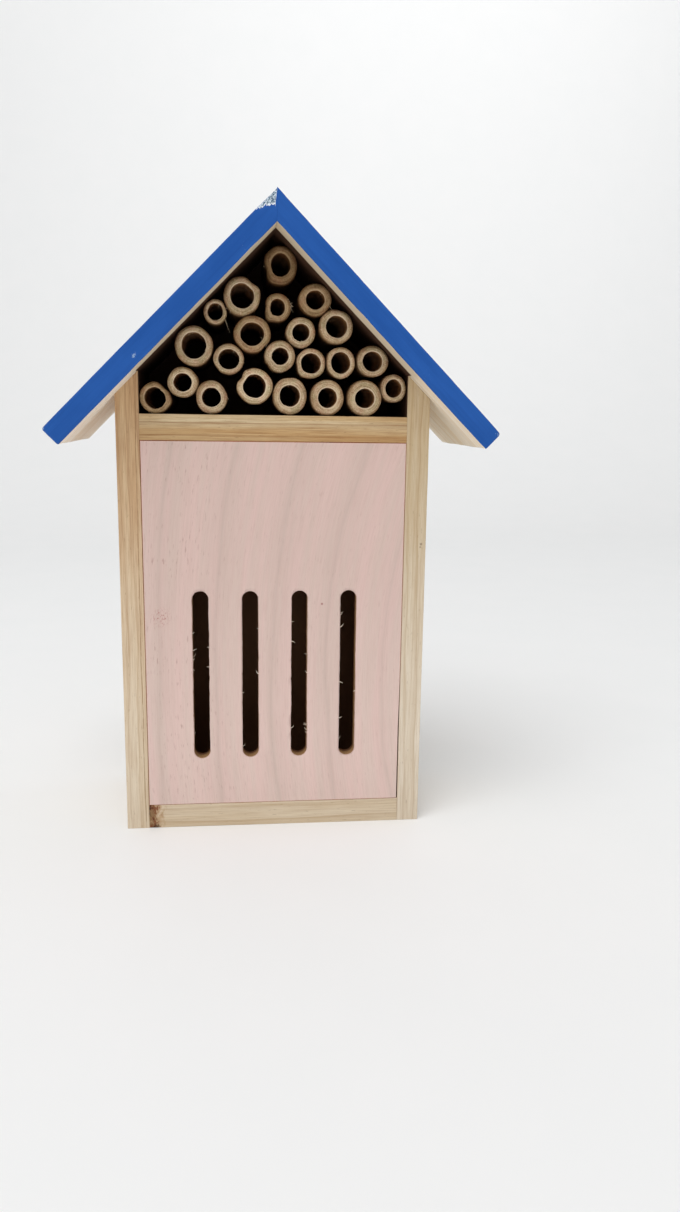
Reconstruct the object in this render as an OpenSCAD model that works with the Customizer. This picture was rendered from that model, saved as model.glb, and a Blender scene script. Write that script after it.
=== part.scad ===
// Insect hotel: a small nailed pine house. A butterfly chamber with a slotted front panel fills
// the lower part, and the gable above the shelf is packed with bamboo tubes.
// Millimetres. X runs across the front, -Y is the front and +Z is up. The origin is the middle
// of the footprint of the walls, on the surface that the house stands on.

/* [House] */
// Width across the outside of the two side walls
house_w = 122.5; // [122.5:0.5:130]
// Depth of the side walls, front to back
house_d = 60; // [50:1:90]
// Height of the ridge above the ground
house_h = 250; // [250:1:265]
// Thickness of a side wall
wall_t = 9; // [7:0.5:9]
// Thickness of the base board and of the shelf
deck_t = 10; // [8:0.5:10]
// Height of the butterfly chamber, between the base board and the shelf
chamber_h = 150; // [140:1:150]
// Thickness of the back board
back_t = 8; // [8:0.5:12]

/* [Roof] */
// Thickness of a roof board, which meets the other one in a mitre at the ridge
roof_t = 8.2; // [6:0.1:8.2]
// Length of a roof board's upper face, from the ridge down to its end
roof_slope = 121.5; // [100:0.5:140]
// How far the roof stands out in front of the walls
overhang = 17; // [0:1:40]

/* [Front panel] */
// Thickness of the front panel
panel_t = 7; // [5:0.5:9]
// Number of slots
slot_count = 4; // [1:1:5]
// Distance between the middles of two slots
slot_pitch = 20; // [12:0.5:20]
// Width of a slot, which has round ends
slot_w = 6.5; // [5:0.5:9]
// Length of a slot
slot_h = 70.5; // [20:0.5:100]
// Height of a slot's lower end above the ground
slot_z = 30; // [20:1:40]

/* [Tubes] */
// Chamfer on the tumbled front end of a tube
tube_chamfer = 1; // [0.1:0.1:1.2]

/* [Nails] */
// Diameter of a nail's shank
nail_d = 1.6; // [1.2:0.1:2]
// Diameter of a flat nail head
nail_head_d = 3.2; // [2.6:0.1:4]
// Thickness of a flat nail head, which is driven flush
nail_head_t = 0.6; // [0.4:0.1:0.8]
// Length of every nail
nail_l = 25; // [20:1:26]
// Depth to which a headless roof nail is sunk, at its middle
nail_sink = 1.2; // [1.2:0.1:2]

/* [Hanger] */
// Width of the hanger plate
hanger_w = 40; // [36:1:42]
// Height of the hanger plate
hanger_h = 19; // [19:1:22]
// Thickness of the hanger plate
hanger_t = 1.2; // [0.8:0.1:2]
// Height of the middle of the hanger plate
hanger_z = 205; // [195:1:208]
// Diameter of the keyhole's round entry, for the head of a wall screw
entry_d = 8.4; // [8:0.2:9]
// Width of the keyhole's neck, for the shank of a wall screw
neck_w = 4.2; // [3.6:0.2:4.4]
// Height from the middle of the entry up to the middle of the neck's round end
neck_h = 7; // [5:0.5:7]
// Depth of the pocket behind the keyhole
pocket_d = 5; // [4.5:0.5:6]

/* [Hidden] */
$fn = 96;
margin = 1;           // how far a cutting solid runs past the face that it cuts
front_y = -house_d / 2;
rear_y = house_d / 2;
inner_w = house_w - 2 * wall_t;
deck_d = house_d - back_t;
back_y = rear_y - back_t;
shelf_z = deck_t + chamber_h;
tube_floor = shelf_z + deck_t;
eave_x = roof_slope / sqrt(2);
roof_drop = roof_t * sqrt(2);         // height of the roof board, measured straight up
gable_top = house_h - roof_drop;      // where the two undersides of the roof meet

wall_mid = (house_w - wall_t) / 2;
nail_deck_y = [-20, 8];               // nails through the walls into the base board and shelf
nail_panel_z = [45, 125];             // nails through the walls into the front panel
nail_back_z = [35, 90, 145];          // nails through the walls into the back board
nail_back_x = [-30, 30];              // nails through the back board into the base and shelf
nail_wall_y = [-20, 5];               // nails through the roof into the tops of the walls
nail_gable_x = [15, 38];              // nails through the roof into the gable of the back board

pocket_clear = 0.6;   // how far the pocket reaches beyond the keyhole's entry, all round
pocket_r = entry_d / 2 + pocket_clear;
keyhole_drop = 0.5;   // how far the keyhole sits below the middle of the plate
entry_z = hanger_z - neck_h / 2 - keyhole_drop;
screw_x = 14.5;       // a hanger screw, out from the middle
screw_d = 3;
screw_l = 6;          // how far a screw goes into the back board
screw_head_d = 5.6;
screw_head_t = 1.6;
cross_w = 0.9;        // the cross recess in a screw head
cross_l = 3.2;
cross_t = 0.9;

// The bamboo tubes, from the ridge down: how far across from the middle, height of the centre
// above the shelf, outside diameter, bore, and how far the end is set back from the front.
tubes = [
    [2.25, 56.5, 13.5, 8, 4],
    [-12.5, 44.5, 14.5, 9.25, 1],
    [-22.75, 38.5, 9, 6, 2],
    [1, 40.75, 11, 6.25, 3],
    [15.5, 43.75, 12.5, 7.25, 1.5],
    [23.75, 33.9, 13, 8.5, 1],
    [10, 31.5, 11.75, 6.75, 1.5],
    [-8.75, 30.5, 14.25, 9, 0.5],
    [-31, 25.75, 15, 9.75, 0.5],
    [-17.75, 21, 11.75, 8, 1.5],
    [2, 22.5, 12, 6.5, 1],
    [14, 20, 11.5, 7.75, 1.5],
    [25.6, 20.4, 11.5, 8, 1],
    [38.25, 21.25, 12.25, 7.75, 1.5],
    [-35.5, 12.1, 12, 7, 1.5],
    [-46, 6, 12, 8, 0.5],
    [-24.5, 6.5, 12.5, 7.5, 1],
    [-8, 11, 14, 9, 0.5],
    [5.75, 7.5, 14, 8.25, 0.5],
    [20.5, 7, 13.75, 7.75, 0.5],
    [35.25, 7, 14, 7.75, 0.5],
    [46.9, 11, 10.5, 6.5, 2]
];

function tube_name(i) = str("tube_", i < 9 ? "0" : "", i + 1);
tube_ids = [for (i = [0 : len(tubes) - 1]) i];

// Height of the roof's underside at a distance x from the middle
function roof_under(x) = gable_top - abs(x);

// A flat outline drawn in X and Z, as a board that runs from y0 back to y1
module board(y0, y1) {
    translate([0, y1, 0])
        rotate([90, 0, 0])
            linear_extrude(y1 - y0)
                children();
}

// The same piece on the left
module on_left() {
    mirror([1, 0, 0])
        children();
}

// A flat-headed nail along -Z, with the top of its head at the origin
module flat_nail() {
    translate([0, 0, -nail_l])
        cylinder(h = nail_l, d = nail_d);
    translate([0, 0, -nail_head_t])
        cylinder(h = nail_head_t, d = nail_head_d);
}

// The nails that are driven through the right-hand wall into the boards between the walls
module side_nails() {
    deck_spots = [for (y = nail_deck_y, z = [deck_t / 2, shelf_z + deck_t / 2]) [y, z]];
    panel_spots = [for (z = nail_panel_z) [front_y + panel_t / 2, z]];
    back_spots = [for (z = nail_back_z) [rear_y - back_t / 2, z]];
    for (spot = concat(deck_spots, panel_spots, back_spots))
        translate([house_w / 2, spot[0], spot[1]])
            rotate([0, 90, 0])
                flat_nail();
}

// The spots of the right-hand roof board's nails, as x and y
roof_nail_spots = concat(
    [for (y = nail_wall_y) [wall_mid, y]],
    [for (x = nail_gable_x) [x, rear_y - back_t / 2]]
);

// The headless nails that go straight down through the right-hand roof board
module roof_nails() {
    for (spot = roof_nail_spots)
        translate([spot[0], spot[1], house_h - spot[0] - nail_sink - nail_l])
            cylinder(h = nail_l, d = nail_d);
}

// The holes that those nails make, open above so that each nail sits in a small pit
module roof_nail_holes() {
    for (spot = roof_nail_spots)
        translate([spot[0], spot[1], house_h - spot[0] - nail_sink - nail_l])
            cylinder(h = nail_l + nail_sink + 2 * nail_d, d = nail_d);
}

// The nails that are driven through the back board into the base board and the shelf
module rear_nails() {
    for (x = nail_back_x, z = [deck_t / 2, shelf_z + deck_t / 2])
        translate([x, rear_y, z])
            rotate([-90, 0, 0])
                flat_nail();
}

// The right-hand wall, with its top cut to the slope of the roof
module wall() {
    difference() {
        board(front_y, rear_y)
            polygon([
                [inner_w / 2, 0],
                [house_w / 2, 0],
                [house_w / 2, roof_under(house_w / 2)],
                [inner_w / 2, roof_under(inner_w / 2)]
            ]);
        side_nails();
        roof_nails();
    }
}

// The base board or the shelf, with its underside at height z
module deck(z) {
    difference() {
        translate([-inner_w / 2, front_y, z])
            cube([inner_w, deck_d, deck_t]);
        side_nails();
        on_left() side_nails();
        rear_nails();
    }
}

// A slot with round ends, drawn in X and Z
module slot_outline() {
    end_z = [slot_z + slot_w / 2, slot_z + slot_h - slot_w / 2];
    for (z = end_z)
        translate([0, z])
            circle(d = slot_w);
    translate([-slot_w / 2, end_z[0]])
        square([slot_w, end_z[1] - end_z[0]]);
}

// The right-hand roof board, mitred at the ridge and cut square at its lower end
module roof_board() {
    inner_x = eave_x - roof_t / sqrt(2);
    difference() {
        board(front_y - overhang, rear_y)
            polygon([
                [0, gable_top],
                [0, house_h],
                [eave_x, house_h - eave_x],
                [inner_x, gable_top - inner_x]
            ]);
        roof_nail_holes();
    }
}

// The keyhole's outline, drawn in X and Z: a round entry below and a neck with a round end
module keyhole_outline(entry_r, neck_r) {
    translate([0, entry_z])
        circle(r = entry_r);
    translate([0, entry_z + neck_h])
        circle(r = neck_r);
    translate([-neck_r, entry_z])
        square([2 * neck_r, neck_h]);
}

// The shank and head of a hanger screw, which points into the back board
module hanger_screw(with_recess) {
    rotate([-90, 0, 0])
        difference() {
            union() {
                translate([0, 0, -screw_l])
                    cylinder(h = screw_l + hanger_t, d = screw_d);
                translate([0, 0, hanger_t])
                    cylinder(h = screw_head_t, d = screw_head_d);
            }
            if (with_recess)
                for (turn = [0, 90])
                    rotate([0, 0, turn])
                        translate([-cross_l / 2, -cross_w / 2, hanger_t + screw_head_t - cross_t])
                            cube([cross_l, cross_w, cross_t + margin]);
        }
}

module hanger_screw_pair(with_recess) {
    for (x = [-screw_x, screw_x])
        translate([x, rear_y, hanger_z])
            hanger_screw(with_recess);
}

module side_wall_left() {
    color("burlywood") on_left() wall();
}

module side_wall_right() {
    color("burlywood") wall();
}

module base_board() {
    color("wheat") deck(0);
}

module shelf_board() {
    color("wheat") deck(shelf_z);
}

// The board behind everything, which fills the house from the ground up into the gable
module back_board() {
    color("tan")
        difference() {
            board(back_y, rear_y)
                polygon([
                    [-inner_w / 2, 0],
                    [inner_w / 2, 0],
                    [inner_w / 2, roof_under(inner_w / 2)],
                    [0, gable_top],
                    [-inner_w / 2, roof_under(inner_w / 2)]
                ]);
            side_nails();
            on_left() side_nails();
            roof_nails();
            on_left() roof_nails();
            rear_nails();
            board(rear_y - pocket_d, rear_y + margin)
                keyhole_outline(pocket_r, pocket_r);
            hanger_screw_pair(false);
        }
}

module front_panel() {
    color("rosybrown")
        difference() {
            translate([-inner_w / 2, front_y, deck_t])
                cube([inner_w, panel_t, chamber_h]);
            board(front_y - margin, front_y + panel_t + margin)
                for (i = [0 : slot_count - 1])
                    translate([(i - (slot_count - 1) / 2) * slot_pitch, 0])
                        slot_outline();
            side_nails();
            on_left() side_nails();
        }
}

module roof_board_left() {
    color("royalblue") on_left() roof_board();
}

module roof_board_right() {
    color("royalblue") roof_board();
}

// One bamboo tube, with its rear end against the back board
module tube(i) {
    outer_r = tubes[i][2] / 2;
    bore_r = tubes[i][3] / 2;
    length = back_y - front_y - tubes[i][4];
    color("peru")
        translate([tubes[i][0], back_y, tube_floor + tubes[i][1]])
            rotate([90, 0, 0])
                rotate_extrude()
                    polygon([
                        [bore_r, 0],
                        [outer_r, 0],
                        [outer_r, length - tube_chamfer],
                        [outer_r - tube_chamfer, length],
                        [bore_r, length]
                    ]);
}

module side_nails_left() {
    color("silver") on_left() side_nails();
}

module side_nails_right() {
    color("silver") side_nails();
}

module roof_nails_left() {
    color("silver") on_left() roof_nails();
}

module roof_nails_right() {
    color("silver") roof_nails();
}

module back_nails() {
    color("silver") rear_nails();
}

// A flat steel plate with a keyhole, which hangs on the head of a wall screw
module hanger_plate() {
    color("silver")
        difference() {
            translate([-hanger_w / 2, rear_y, hanger_z - hanger_h / 2])
                cube([hanger_w, hanger_t, hanger_h]);
            board(rear_y - margin, rear_y + hanger_t + margin)
                keyhole_outline(entry_d / 2, neck_w / 2);
            hanger_screw_pair(false);
        }
}

module hanger_screws() {
    color("gray") hanger_screw_pair(true);
}

side_wall_left();
side_wall_right();
base_board();
shelf_board();
back_board();
front_panel();
roof_board_left();
roof_board_right();
for (i = tube_ids)
    tube(i);
side_nails_left();
side_nails_right();
roof_nails_left();
roof_nails_right();
back_nails();
hanger_plate();
hanger_screws();
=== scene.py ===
"""The looks of the insect hotel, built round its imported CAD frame.

Metres, +Z up, the front looks along -Y. Shapes are worked out in millimetres from the CAD boxes
and are scaled once, when a mesh is made.
"""
import math
import random
from collections import namedtuple

import bmesh
import bpy
import numpy as np
from mathutils import Matrix, Vector


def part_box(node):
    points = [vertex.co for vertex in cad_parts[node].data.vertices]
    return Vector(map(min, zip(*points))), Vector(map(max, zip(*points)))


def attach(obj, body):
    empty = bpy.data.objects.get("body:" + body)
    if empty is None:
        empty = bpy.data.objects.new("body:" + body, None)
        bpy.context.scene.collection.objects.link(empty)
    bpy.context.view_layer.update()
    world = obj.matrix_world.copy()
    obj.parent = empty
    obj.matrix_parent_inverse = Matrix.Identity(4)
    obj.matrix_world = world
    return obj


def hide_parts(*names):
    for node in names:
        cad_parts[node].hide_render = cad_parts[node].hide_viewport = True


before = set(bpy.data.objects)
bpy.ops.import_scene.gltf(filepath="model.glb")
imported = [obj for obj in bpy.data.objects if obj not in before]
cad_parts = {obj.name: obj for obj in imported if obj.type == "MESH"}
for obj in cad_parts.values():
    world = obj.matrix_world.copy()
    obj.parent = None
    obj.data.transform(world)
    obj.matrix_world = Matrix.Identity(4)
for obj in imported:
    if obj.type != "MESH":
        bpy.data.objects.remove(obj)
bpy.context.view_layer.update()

MM = 0.001
ROOT = "root"
SQRT2 = math.sqrt(2)
RIGHT, BACK, UP = (1, 0, 0), (0, 1, 0), (0, 0, 1)


# ---------------- the frame, in millimetres

def cad_box(node):
    """Lowest and highest corner of a CAD node."""
    low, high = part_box(node)
    return np.array(low) / MM, np.array(high) / MM


def mesh_points(mesh):
    """All corners of a mesh."""
    return np.array([v.co for v in mesh.vertices]) / MM


def cad_points(node):
    return mesh_points(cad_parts[node].data)


def clusters(points, reach, axes=(0, 1, 2)):
    """Lowest and highest corner of each group of points that lie, along some axes, within reach of
    the group's first one."""
    groups = []
    for point in points:
        for group in groups:
            if np.linalg.norm((group[0] - point)[list(axes)]) < reach:
                group.append(point)
                break
        else:
            groups.append([point])
    return [(np.min(group, axis=0), np.max(group, axis=0)) for group in groups]


BACK_LOW, BACK_HIGH = cad_box("back_board")
WALL_LOW, WALL_HIGH = cad_box("side_wall_right")
ROOF_LOW, ROOF_HIGH = cad_box("roof_board_right")
PANEL_LOW, PANEL_HIGH = cad_box("front_panel")
SHELF_LOW, SHELF_HIGH = cad_box("shelf_board")
BASE_HIGH = cad_box("base_board")[1]
PLATE_LOW, PLATE_HIGH = cad_box("hanger_plate")
GABLE_TOP = BACK_HIGH[2]
RIDGE = ROOF_HIGH[2]
ROOF_T = (RIDGE - GABLE_TOP) / SQRT2
SLOPE = ROOF_HIGH[0] * SQRT2
INNER_X = WALL_LOW[0]
OUTER_X = WALL_HIGH[0]
FRONT_Y = WALL_LOW[1]
REAR_Y = WALL_HIGH[1]


# ---------------- noise

def lattice(cell, seed):
    """One random value from -1 to 1 for each whole-number cell."""
    mixed = cell[:, 0] * 374761393 + cell[:, 1] * 668265263 + cell[:, 2] * 1103515245 + seed * 12345701
    mixed &= 0xFFFFFFFF
    mixed = ((mixed ^ (mixed >> 13)) * 1274126177) & 0xFFFFFFFF
    return ((mixed ^ (mixed >> 16)) & 0xFFFF) / 32767.5 - 1.0


def noise(points, size, seed=0):
    """Smooth noise from -1 to 1 whose bumps are about size across, which may differ by axis."""
    scaled = np.asarray(points, float) / np.asarray(size, float)
    cell = np.floor(scaled).astype(np.int64)
    part = scaled - cell
    part = part * part * (3 - 2 * part)
    total = np.zeros(len(scaled))
    for corner in np.ndindex(2, 2, 2):
        weight = np.prod(np.where(np.array(corner), part, 1 - part), axis=1)
        total += weight * lattice(cell + np.array(corner), seed)
    return total


def smooth(low, high, value):
    """0 at low, 1 at high, and smooth between them."""
    t = np.clip((value - low) / (high - low), 0, 1)
    return t * t * (3 - 2 * t)


# ---------------- meshes

def add_object(name, data):
    thing = bpy.data.objects.new(name, data)
    bpy.context.scene.collection.objects.link(thing)
    return thing


def new_mesh(name, points, faces, material):
    """A smooth shaded mesh from points in millimetres."""
    mesh = bpy.data.meshes.new(name)
    mesh.from_pydata((np.asarray(points) * MM).tolist(), [], faces)
    mesh.materials.append(material)
    mesh.polygons.foreach_set("use_smooth", [True] * len(mesh.polygons))
    mesh.update()
    return mesh


def mark_points(mesh, **marks):
    """Stores numbers, one for each point, under names that the materials read."""
    for name, values in marks.items():
        layer = mesh.attributes.new(name, "FLOAT", "POINT")
        layer.data.foreach_set("value", np.asarray(values, np.float32))


def place(mesh, nodes):
    """Makes a mesh a piece of the house, in place of its CAD nodes."""
    piece = add_object(mesh.name, mesh)
    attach(piece, ROOT)
    if nodes:
        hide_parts(*nodes)
    return piece


def make_piece(name, points, faces, material, nodes, slot, **marks):
    mesh = new_mesh(name, points, faces, material)
    mark_points(mesh, **marks)
    return place(mesh, nodes)


def flipped(faces):
    return [face[::-1] for face in faces]


def skin(rings, inside_out=False, looped=False):
    """Points and faces of a surface over rings of points, each joined to the next one.

    The last ring is joined to the first one if looped, and otherwise both ends are closed."""
    sides = len(rings[0])
    faces = []
    for level in range(len(rings) if looped else len(rings) - 1):
        here, there = level * sides, (level + 1) % len(rings) * sides
        for k in range(sides):
            j = (k + 1) % sides
            faces.append([here + k, here + j, there + j, there + k])
    if not looped:
        faces.append(list(range(sides))[::-1])
        faces.append(list(range((len(rings) - 1) * sides, len(rings) * sides)))
    return np.vstack([np.array(ring) for ring in rings]), flipped(faces) if inside_out else faces


def circle(radius, sides, height=0.0):
    """Points of a circle round Z."""
    turns = [2 * math.pi * k / sides for k in range(sides)]
    return [Vector((radius * math.cos(t), radius * math.sin(t), height)) for t in turns]


def lathe(profile, centre, direction, sides=32):
    """A closed solid turned about direction. The profile is (radius, height) from end to end."""
    turn = Vector(direction).to_track_quat("Z", "Y")
    return skin([[Vector(centre) + turn @ spot for spot in circle(radius, sides, height)]
                 for radius, height in profile])


def strand(path, width, sides=5):
    """A thin fibre along a path of points, thickest at its root and pointed at its tip."""
    path = [Vector(p) for p in path]
    last = len(path) - 1
    rings = []
    for i, spot in enumerate(path):
        turn = (path[min(i + 1, last)] - path[max(i - 1, 0)]).to_track_quat("Z", "Y")
        rings.append([spot + turn @ offset for offset in circle(width / 2 * (1 - 0.85 * i / last), sides)])
    return skin(rings)


def prism(outline, y_low, y_high):
    """A solid from y_low to y_high. Its outline, in X and Z, runs anticlockwise seen from the front."""
    return skin([[(x, y, z) for x, z in outline] for y in (y_low, y_high)], inside_out=True)


def joined(parts):
    """One (points, faces) from several."""
    faces = []
    count = 0
    for points, part_faces in parts:
        faces += [[count + i for i in face] for face in part_faces]
        count += len(points)
    return np.vstack([points for points, _ in parts]), faces


def steps(length, cell, edge, fine=None):
    """Grid positions along one side of a board, close together in its rounded edges.

    fine is (from, to, cell) for a stretch that needs a finer grid."""
    rim = edge * np.array([0, 0.12, 0.3, 0.55, 0.8, 1.0])
    stops = [(edge, length - edge, cell)]
    if fine:
        start, end, small = max(fine[0], edge), min(fine[1], length - edge), fine[2]
        stops = [(edge, start, cell), (start, end, small), (end, length - edge, cell)]
    middle = []
    for low, high, size in stops:
        if high - low > 0.01:
            count = max(1, round((high - low) / size))
            middle.extend(np.linspace(low, high, count + 1)[1:])
    return np.concatenate([rim, middle[:-1], length - rim[::-1]])


def block(size, cells, edge, seed, fine=(None, None, None), softness=None):
    """Points and quads of a board from 0 to size, gridded all over, with soft uneven edges.

    softness turns points into a number that the edge radius is multiplied by."""
    sides = [steps(size[a], cells[a], edge * 1.6, fine[a]) for a in range(3)]
    last = [len(side) - 1 for side in sides]
    index, points, faces = {}, [], []

    def at(*spot):
        if spot not in index:
            index[spot] = len(points)
            points.append([sides[a][spot[a]] for a in range(3)])
        return index[spot]

    for axis in range(3):
        u, v = (axis + 1) % 3, (axis + 2) % 3
        for end in (0, last[axis]):
            for i, j in np.ndindex(last[u], last[v]):
                quad = []
                for di, dj in ((0, 0), (1, 0), (1, 1), (0, 1)):
                    spot = [0, 0, 0]
                    spot[axis], spot[u], spot[v] = end, i + di, j + dj
                    quad.append(at(*spot))
                faces.append(quad if end else quad[::-1])
    points = np.array(points)
    worn = edge * (0.75 + 0.35 * noise(points, 7, seed) + 0.45 * noise(points, 1.8, seed + 1) ** 3)
    worn = np.clip(worn, 0.15 * edge, 1.55 * edge)
    if softness:
        worn = worn * softness(points)
    worn = worn[:, None]
    inner = np.clip(points, worn, np.array(size) - worn)
    away = points - inner
    length = np.linalg.norm(away, axis=1, keepdims=True)
    points = np.where(length > 1e-6, inner + away / np.maximum(length, 1e-6) * worn, points)
    return points, faces


def roughen(points, faces, amount, size, seed):
    """Moves each point along its normal by noise, so that no face is perfectly flat."""
    mesh = bpy.data.meshes.new("scratch")
    mesh.from_pydata(points.tolist(), [], faces)
    mesh.update()
    normals = np.zeros(len(points) * 3)
    mesh.vertices.foreach_get("normal", normals)
    bpy.data.meshes.remove(mesh)
    lift = noise(points, size, seed) * 0.7 + noise(points, np.asarray(size) / 3, seed + 7) * 0.3
    return points + normals.reshape(-1, 3) * (amount * lift[:, None])


def carve(piece, cutters):
    """Cuts closed meshes, given as (points, faces) in millimetres, out of a piece."""
    made = []
    for number, (points, faces) in enumerate(cutters):
        name = f"cutter_{number}"
        made.append(add_object(name, new_mesh(name, points, faces, piece.data.materials[0])))
        cut = piece.modifiers.new(name, "BOOLEAN")
        cut.operation = "DIFFERENCE"
        cut.solver = "EXACT"
        cut.object = made[-1]
    bpy.context.view_layer.update()
    graph = bpy.context.evaluated_depsgraph_get()
    result = bpy.data.meshes.new_from_object(piece.evaluated_get(graph))
    piece.modifiers.clear()
    old, piece.data = piece.data, result
    result.name = old.name
    result.polygons.foreach_set("use_smooth", [True] * len(result.polygons))
    for mesh in [old] + [cutter.data for cutter in made]:
        bpy.data.meshes.remove(mesh)


# ---------------- materials

def rgb(red, green, blue):
    """A colour given on a 0 to 255 screen scale, as the linear colour that a shader needs."""
    def linear(c):
        c /= 255
        return c / 12.92 if c <= 0.04045 else ((c + 0.055) / 1.055) ** 2.4
    return (linear(red), linear(green), linear(blue), 1.0)


def arithmetic(operation):
    """An operator between a wire and another one, a number or a tuple."""
    def apply(self, other):
        if self.socket.type != "VECTOR":
            return self.recipe.math(operation, self, other)
        if isinstance(other, (int, float)):
            return self.recipe.vector("SCALE", self, Scale=other)
        return self.recipe.vector(operation, self, other)
    return apply


class Wire:
    """The output of a node, written like a number or a vector in sums."""

    def __init__(self, recipe, socket):
        self.recipe, self.socket = recipe, socket

    __add__ = arithmetic("ADD")
    __sub__ = arithmetic("SUBTRACT")
    __mul__ = arithmetic("MULTIPLY")
    __truediv__ = arithmetic("DIVIDE")

    def __abs__(self):
        return self.recipe.math("ABSOLUTE", self)

    def along(self, axis):
        return self.recipe.vector("DOT_PRODUCT", self, axis)

    def length(self):
        return self.recipe.vector("LENGTH", self)

    def between(self, low, high, to_low=0.0, to_high=1.0):
        """to_low at low and to_high at high, and smooth between them."""
        inputs = dict(enumerate((self, low, high, to_low, to_high)))
        return self.recipe.node("MapRange", inputs, interpolation_type="SMOOTHSTEP")


class Recipe:
    """A material's node tree, written as short calls. Most of them return a wire.

    place is where a point lies, in millimetres, and constants are set on the shader itself."""

    def __init__(self, name, **constants):
        self.material = bpy.data.materials.new(name)
        self.material.use_nodes = True
        self.tree = self.material.node_tree
        self.tree.nodes.clear()
        self.shader = self.tree.nodes.new("ShaderNodeBsdfPrincipled")
        out = self.tree.nodes.new("ShaderNodeOutputMaterial")
        self.tree.links.new(self.shader.outputs[0], out.inputs[0])
        for socket, value in constants.items():
            self.set(socket.replace("_", " "), value)
        self.place = self.node("TexCoord", {}, "Object") * (1 / MM)

    def node(self, kind, inputs, output=0, **settings):
        """An output of a new node, whose inputs are set to values or joined to wires."""
        node = self.tree.nodes.new("ShaderNode" + kind)
        for name, value in settings.items():
            setattr(node, name, value)
        for socket, value in inputs.items():
            self.put(node.inputs[socket], value)
        return Wire(self, node.outputs[output])

    def put(self, socket, value):
        if isinstance(value, Wire):
            self.tree.links.new(value.socket, socket)
        else:
            socket.default_value = value

    def set(self, socket, value):
        self.put(self.shader.inputs[socket], value)

    def math(self, operation, *values):
        return self.node("Math", dict(enumerate(values)), operation=operation)

    def vector(self, operation, *values, **inputs):
        inputs.update(enumerate(values))
        output = "Value" if operation in ("DOT_PRODUCT", "LENGTH") else "Vector"
        return self.node("VectorMath", inputs, output, operation=operation)

    def combine(self, x, y, z):
        return self.node("CombineXYZ", {"X": x, "Y": y, "Z": z})

    def noise(self, where, detail, rough, warp=0.0):
        return self.node("TexNoise", {"Vector": where, "Scale": 1.0, "Detail": detail, "Roughness": rough,
                                      "Distortion": warp}, "Fac")

    def cells(self, where, scale):
        """How far a point is from the middle of a scattered cell, in cells of 1 / scale."""
        return self.node("TexVoronoi", {"Vector": where, "Scale": scale}, "Distance")

    def chance(self, value):
        """A random number from 0 to 1 for each whole number."""
        return self.node("TexWhiteNoise", {"W": value}, "Value", noise_dimensions="1D")

    def curve(self, value, stops):
        """A number turned into another one by straight steps between (from, to) stops."""
        colour = self.node("ValToRGB", {0: value})
        ramp = colour.socket.node.color_ramp
        while len(ramp.elements) < len(stops):
            ramp.elements.new(0.5)
        for element, (spot, level) in zip(ramp.elements, stops):
            element.position = spot
            element.color = (level, level, level, 1)
        return colour

    def mix(self, amount, a, b, blend="MIX"):
        return self.node("Mix", {0: amount, 6: a, 7: b}, 2, data_type="RGBA", blend_type=blend)

    def layers(self, colour, *coats):
        """A colour under coats of (amount, colour), from the lowest one up."""
        for amount, coat in coats:
            colour = self.mix(amount, colour, coat)
        return colour

    def mark(self, name):
        return self.node("Attribute", {}, "Fac", attribute_name=name)

    def facing(self, axis):
        """1 where the surface faces along an axis, either way."""
        return abs(self.node("NewGeometry", {}, "Normal").along(axis))

    def bump(self, height, distance, strength):
        return self.node("Bump", {"Strength": strength, "Distance": distance * MM, "Height": height})

    def painted_inner_shade(self, colour, start=0.3):
        """A wood colour with painted shade inside the chamber, darker still inside the attic.

        start is how far behind the front of the walls the painted shade begins."""
        x, y, z = (self.place.along(axis) for axis in (RIGHT, BACK, UP))
        across = abs(x).between(INNER_X + 0.15, INNER_X + 0.45, 1.0, 0.0)
        from_front = y.between(FRONT_Y + start, FRONT_Y + start + 1.6)
        to_back = y.between(BACK_LOW[1] + 0.15, BACK_LOW[1] + 0.5, 1.0, 0.0)
        above = z.between(BASE_HIGH[2] - 0.3, BASE_HIGH[2] - 0.1)
        inside = across * above * (from_front * to_back)
        in_attic = z.between(SHELF_LOW[2], SHELF_HIGH[2])
        return self.mix(inside, colour, self.mix(in_attic, CHAMBER_SHADE, ATTIC_SHADE))


# Painted shade: the colours that wood turns to inside the chamber and, darker, inside the attic
CHAMBER_SHADE = rgb(122, 84, 58)
ATTIC_SHADE = rgb(72, 47, 32)

# Which way a board's width, its depth and its fibres run
FIBRE = {
    "x": (BACK, UP, RIGHT),
    "z": (RIGHT, BACK, UP),
    "right_slope": (BACK, (1 / SQRT2, 0, 1 / SQRT2), (1 / SQRT2, 0, -1 / SQRT2)),
    "left_slope": (BACK, (-1 / SQRT2, 0, 1 / SQRT2), (-1 / SQRT2, 0, -1 / SQRT2)),
}

# How dark a year's ring is from its start to its end, as (part of the ring, darkness)
RING = [(0.0, 0.35), (0.05, 0.0), (0.55, 0.06), (0.85, 0.35), (0.95, 1.0), (1.0, 0.6)]
SOFT_RING = [(0.0, 1.0), (0.05, 0.5), (0.3, 0.22), (0.6, 0.12), (0.92, 0.4), (1.0, 1.0)]


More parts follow.
